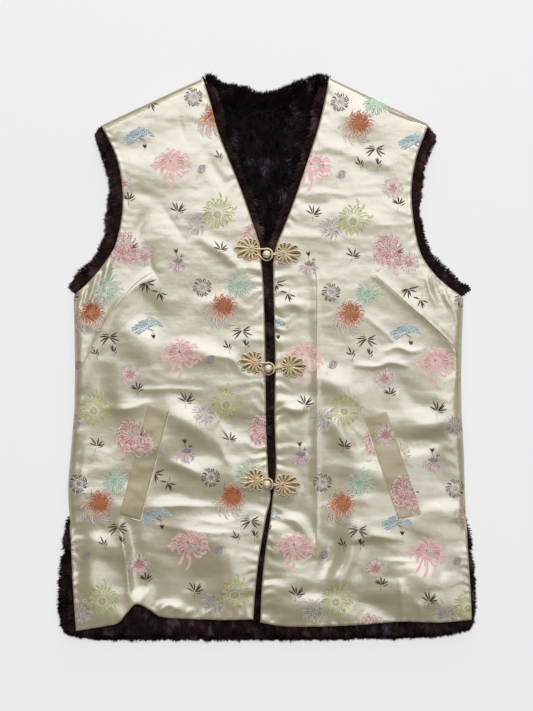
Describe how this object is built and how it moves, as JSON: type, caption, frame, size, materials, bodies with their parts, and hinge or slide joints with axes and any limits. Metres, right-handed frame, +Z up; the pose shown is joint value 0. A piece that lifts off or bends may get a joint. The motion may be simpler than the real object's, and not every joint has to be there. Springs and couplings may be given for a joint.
{
  "type": "fur-lined satin vest laid flat",
  "caption": "Sleeveless satin brocade vest with a V neck, fur lining, flower frog closures, slanted welt pockets and side slits, laid flat on its back.",
  "frame": {"origin": "middle of the bounding box at its bottom, on the surface that the vest lies on", "axes": "+Z up from the surface to the fronts, +Y towards the neck, +X towards the side that is on the wearer's left"},
  "size_m": [0.525, 0.7079, 0.0349],
  "materials": {
    "satin": "champagne silk satin with a woven flower brocade",
    "welt_satin": "folded satin strip, a little duller and yellower",
    "fur": "dense dark brown fur with cool highlights",
    "frog_satin": "rolled gold-beige satin cord"
  },
  "bodies": {
    "root": {"back_shell": "satin", "back_lining": "fur", "right_front_lining": "fur", "left_front_lining": "fur", "right_front_shell": "satin", "left_front_shell": "satin", "right_pocket_welt": "welt_satin", "left_pocket_welt": "welt_satin", "top_loop_flower": "frog_satin", "top_button_flower": "frog_satin", "top_loop": "frog_satin", "top_stem": "frog_satin", "top_button": "frog_satin", "middle_loop_flower": "frog_satin", "middle_button_flower": "frog_satin", "middle_loop": "frog_satin", "middle_stem": "frog_satin", "middle_button": "frog_satin", "bottom_loop_flower": "frog_satin", "bottom_button_flower": "frog_satin", "bottom_loop": "frog_satin", "bottom_stem": "frog_satin", "bottom_button": "frog_satin"}
  },
  "joints": []
}
